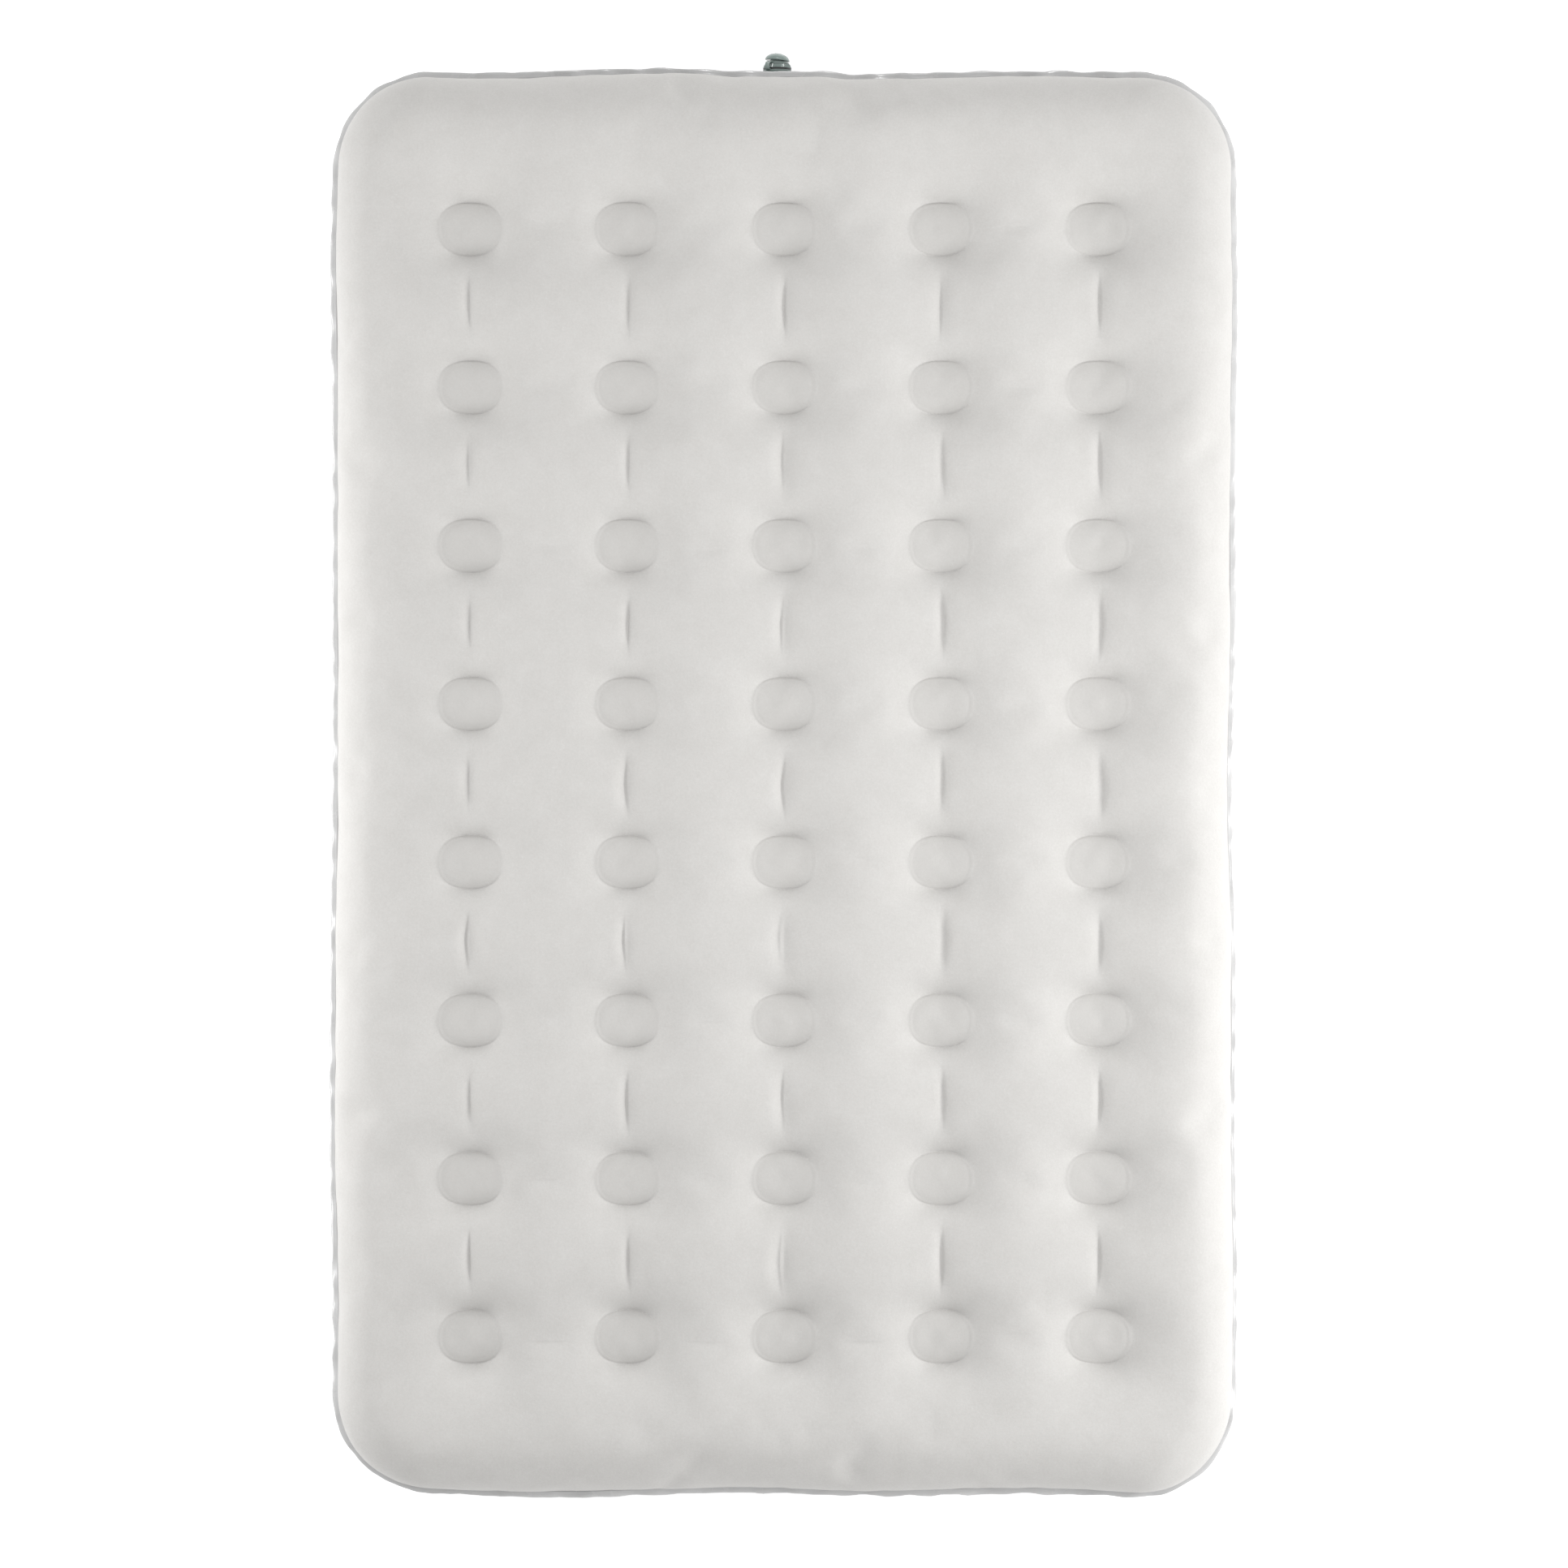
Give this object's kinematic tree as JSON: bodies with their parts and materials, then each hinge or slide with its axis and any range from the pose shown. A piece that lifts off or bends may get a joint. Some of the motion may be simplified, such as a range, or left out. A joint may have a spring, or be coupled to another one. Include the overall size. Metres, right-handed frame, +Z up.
{
  "type": "air mattress",
  "caption": "Double camping air mattress with a flocked dimpled top, welded grey sides, coil tubes inside and a screw valve with a tethered cap.",
  "frame": {"origin": "centre of the underside, on the floor", "axes": "+Y towards the head end with the valve, +Z up, +X to the right seen from above with the head end away"},
  "size_m": [1.2, 1.9166, 0.17],
  "materials": {
    "flocked_pvc": "matte flocked",
    "wall_pvc": "satin",
    "bottom_pvc": "satin",
    "weld_pvc": "gloss",
    "coil_pvc": "satin",
    "clear_pvc": "satin",
    "valve_plastic": "gloss",
    "valve_soft_plastic": "gloss",
    "seal_rubber": "matte",
    "flap_silicone": "satin"
  },
  "bodies": {
    "mattress": {"top_sheet": "flocked_pvc", "side_wall": "wall_pvc", "bottom_sheet": "bottom_pvc", "upper_weld_seam": "weld_pvc", "lower_weld_seam": "weld_pvc", "wall_join_tape": "clear_pvc", "valve_patch": "clear_pvc", "valve_neck": "valve_plastic", "coil_tube_r1_c1": "coil_pvc", "coil_tube_r1_c2": "coil_pvc", "coil_tube_r1_c3": "coil_pvc", "coil_tube_r1_c4": "coil_pvc", "coil_tube_r1_c5": "coil_pvc", "coil_tube_r2_c1": "coil_pvc", "coil_tube_r2_c2": "coil_pvc", "coil_tube_r2_c3": "coil_pvc", "coil_tube_r2_c4": "coil_pvc", "coil_tube_r2_c5": "coil_pvc", "coil_tube_r3_c1": "coil_pvc", "coil_tube_r3_c2": "coil_pvc", "coil_tube_r3_c3": "coil_pvc", "coil_tube_r3_c4": "coil_pvc", "coil_tube_r3_c5": "coil_pvc", "coil_tube_r4_c1": "coil_pvc", "coil_tube_r4_c2": "coil_pvc", "coil_tube_r4_c3": "coil_pvc", "coil_tube_r4_c4": "coil_pvc", "coil_tube_r4_c5": "coil_pvc", "coil_tube_r5_c1": "coil_pvc", "coil_tube_r5_c2": "coil_pvc", "coil_tube_r5_c3": "coil_pvc", "coil_tube_r5_c4": "coil_pvc", "coil_tube_r5_c5": "coil_pvc", "coil_tube_r6_c1": "coil_pvc", "coil_tube_r6_c2": "coil_pvc", "coil_tube_r6_c3": "coil_pvc", "coil_tube_r6_c4": "coil_pvc", "coil_tube_r6_c5": "coil_pvc", "coil_tube_r7_c1": "coil_pvc", "coil_tube_r7_c2": "coil_pvc", "coil_tube_r7_c3": "coil_pvc", "coil_tube_r7_c4": "coil_pvc", "coil_tube_r7_c5": "coil_pvc", "coil_tube_r8_c1": "coil_pvc", "coil_tube_r8_c2": "coil_pvc", "coil_tube_r8_c3": "coil_pvc", "coil_tube_r8_c4": "coil_pvc", "coil_tube_r8_c5": "coil_pvc"},
    "insert_travel": {"insert_gasket": "seal_rubber", "tether_ring": "valve_soft_plastic", "tether_strap": "valve_soft_plastic"},
    "insert": {"valve_insert": "valve_plastic"},
    "flap": {"check_flap": "flap_silicone"},
    "cap_travel": {"tether_eye": "valve_soft_plastic"},
    "cap": {"valve_cap": "valve_soft_plastic", "cap_seal": "seal_rubber"}
  },
  "joints": [
    {"name": "insert_rise", "type": "slide", "parent": "mattress", "child": "insert_travel", "axis": [0, 1, 0], "range_m": [0, 0.0081]},
    {"name": "insert_turn", "type": "hinge", "parent": "insert_travel", "child": "insert", "pos_m": [-0.009, 0.936, 0.0725], "axis": [0, 1, 0], "range_deg": [0, 720]},
    {"name": "flap_lift", "type": "slide", "parent": "insert", "child": "flap", "axis": [0, -1, 0], "range_m": [0, 0.002], "stiffness_N_per_m": 60},
    {"name": "cap_pull", "type": "slide", "parent": "insert_travel", "child": "cap_travel", "axis": [0, 1, 0], "range_m": [0, 0.014], "deforming": ["tether_strap"]},
    {"name": "cap_twist", "type": "hinge", "parent": "cap_travel", "child": "cap", "pos_m": [-0.009, 0.936, 0.0725], "axis": [0, 1, 0], "continuous": true}
  ],
  "couplings": [
    {"joint": "insert_rise", "follows": "insert_turn", "m_per_rad": 0.00063662}
  ]
}
